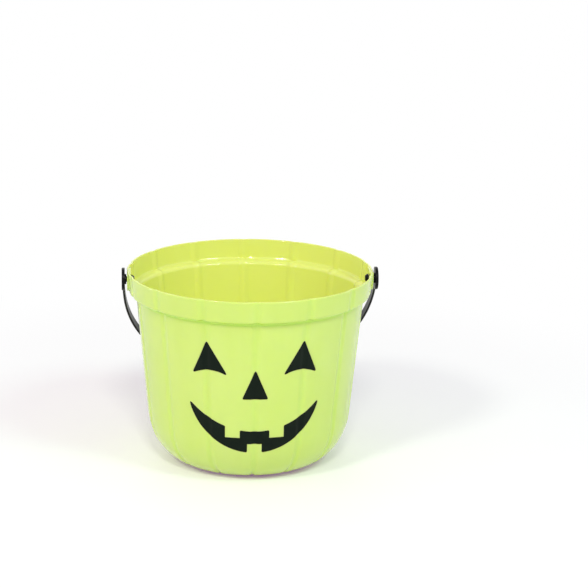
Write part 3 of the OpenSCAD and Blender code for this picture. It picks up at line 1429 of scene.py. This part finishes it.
@dataclass(frozen=True)
class Lamp:
    """One soft rectangular lamp.

    Attributes:
        name: Its name.
        place: Where it hangs, in metres.
        size: Its width and height, in metres.
        power: Its power in watts.
        colour: The colour of its light.
    """

    name: str
    place: Triple
    size: Span
    power: float
    colour: Triple

    def hang(self, aim: Vector) -> None:
        """Hangs the lamp up and turns it to a point.

        Args:
            aim: The point.
        """
        data = bpy.data.lights.new(self.name, "AREA")
        data.shape = "RECTANGLE"
        data.size, data.size_y = self.size
        data.energy = self.power
        data.color = self.colour
        lamp = bpy.data.objects.new(self.name, data)
        lamp.location = self.place
        lamp.rotation_euler = (aim - lamp.location).to_track_quat("-Z", "Y").to_euler()
        bpy.context.collection.objects.link(lamp)


@dataclass
class Studio:
    """Pale floor, soft lamps and the camera.

    Attributes:
        camera_place: Where the camera stands, in metres.
        camera_turn: Its turns about X, Y and Z, in degrees.
        lens: Its focal length in millimetres.
        sensor_width: The width of its sensor in millimetres.
        clip_start: Nearest distance that it shows, in metres.
        floor_size: Side of the floor, in metres.
        paper: The floor's own colour, as it lights the pail.
        ambient: Strength of the light from all round.
        shade_shares: How much of the floor's red, green and blue the lamps make, and so how
            deep its shadows are.
        white_from: Distances from the pail over which the floor turns plain white, in metres.
        full_white: What the floor's own glow and the lamps' light add up to.
        aim: The point that the lamps are turned to, in the middle of the pail.
        lamps: The lamps.
    """

    camera_place: Triple = (-0.10878658, -1.8310864, 0.6464656)
    camera_turn: Triple = (74.325, -0.899, -4.214)
    lens: float = 150.59
    sensor_width: float = 36
    clip_start: float = 0.01
    floor_size: float = 14
    paper: Colour = (0.86, 0.855, 0.85, 1)
    ambient: float = 0.47
    shade_shares: Triple = (0.88, 1, 0.86)
    white_from: Span = (0.22, 0.5)
    full_white: float = 1.06
    aim: Triple = (0, 0, 0.07)
    lamps: tuple[Lamp, ...] = (
        Lamp("left_lamp", (-1.12, -1.45, 1.62), (0.36, 0.3), 12.6, (1, 0.93, 0.93)),
        Lamp("front_lamp", (-0.03, -1.81, 1.62), (0.36, 0.3), 14.8, (1, 0.895, 0.92)),
        Lamp("right_lamp", (0.85, -0.93, 1.3), (0.36, 0.36), 6.3, (0.7, 0.98, 0.92)),
        Lamp("back_lamp", (-0.2, 1.9, 1.3), (1.2, 1.2), 6.0, (1, 1, 1)),
        Lamp("left_fill", (-1.9, 0.3, 0.3), (0.5, 0.5), 4.2, (0.95, 1, 1)),
        Lamp("right_fill", (1.9, 0.3, 0.3), (0.5, 0.5), 1.6, (0.8, 1, 0.9)),
    )

    def build_camera(self) -> None:
        """Sets up the camera at the photograph's angle."""
        data = bpy.data.cameras.new("camera")
        data.lens = self.lens
        data.sensor_width = self.sensor_width
        data.clip_start = self.clip_start
        camera = bpy.data.objects.new("camera", data)
        camera.location = self.camera_place
        camera.rotation_euler = [math.radians(angle) for angle in self.camera_turn]
        bpy.context.collection.objects.link(camera)
        bpy.context.scene.camera = camera

    @staticmethod
    def seen(shader: Shader) -> Value:
        """Tells rays that show the surroundings, straight or in a reflection, from others.

        Args:
            shader: The shader that asks.

        Returns:
            1 for such a ray, and 0 for another.
        """
        path = shader.node("LightPath", {})
        camera, glossy, through = (Value(shader, path.outputs[name]) for name in (
            "Is Camera Ray", "Is Glossy Ray", "Is Transmission Ray"))
        return camera.math("MAXIMUM", glossy).math("MAXIMUM", through)

    def build_world(self) -> None:
        """Sets up the even light from all round, which shows as plain white."""
        world = bpy.data.worlds.new("surroundings")
        bpy.context.scene.world = world
        shader = Shader(world)
        strength = self.ambient + self.seen(shader) * (1 - self.ambient)
        background = shader.value("Background", {"Color": WHITE, "Strength": strength})
        shader.node("OutputWorld", {"Surface": background})

    def build_floor(self) -> None:
        """Lays the floor, which is white and keeps the pail's soft shadow."""
        bpy.ops.mesh.primitive_plane_add(size=self.floor_size, location=(0, 0, 0))
        floor = bpy.context.object
        floor.name = "floor"
        shader = Shader(bpy.data.materials.new("floor_paper"))
        paper = shader.value("BsdfDiffuse", {"Color": self.paper})
        shown = shader.value("BsdfDiffuse", {"Color": (*self.shade_shares, 1)})
        rest = [self.full_white - share for share in self.shade_shares]
        glow = shader.value("Emission", {"Strength": 1, "Color": (*rest, 1)})
        near = shader.value("AddShader", {0: shown, 1: glow})
        far = shader.value("Emission", {"Strength": 1, "Color": WHITE})
        whitened = shader.vector("LENGTH", shader.place, output="Value").ramp(*self.white_from)
        lit = shader.value("MixShader", {0: whitened, 1: near, 2: far})
        mixed = shader.value("MixShader", {0: self.seen(shader), 1: paper, 2: lit})
        shader.node("OutputMaterial", {"Surface": mixed})
        floor.data.materials.append(shader.block)

    def build(self) -> None:
        """Sets up the whole studio."""
        self.build_camera()
        for lamp in self.lamps:
            lamp.hang(Vector(self.aim))
        self.build_world()
        self.build_floor()
        bpy.context.scene.view_settings.view_transform = "Standard"
        LOG.info("studio: %d lamps, camera and floor", len(self.lamps))


def main() -> None:
    """Builds the studio and the pail's pieces in order."""
    logging.basicConfig(level=logging.INFO, format="%(name)s: %(message)s")
    Studio().build()
    lime, black, paint = LimePlastic().make(), BlackPlastic().make(), FacePaint().make()
    tub = Tub()
    face = Face()
    sheet = tub.build_sheet()
    LOG.info("outer sheet: %d faces", len(sheet.data.polygons))
    wall = tub.build_wall(sheet)
    LOG.info("wall with ears: %d faces", len(wall.data.polygons))
    cutters = join([face.build_cutter(tub, sheet), tub.build_pin_bore(), tub.build_gate()])
    cut(wall, cutters, "DIFFERENCE")
    dress(wall, "lobed_tub", lime, Body.TUB, "tub")
    face.build_paint(tub, sheet, paint)
    bpy.data.objects.remove(sheet)
    Bail(tub).build(black)


if __name__ == "__main__":
    main()
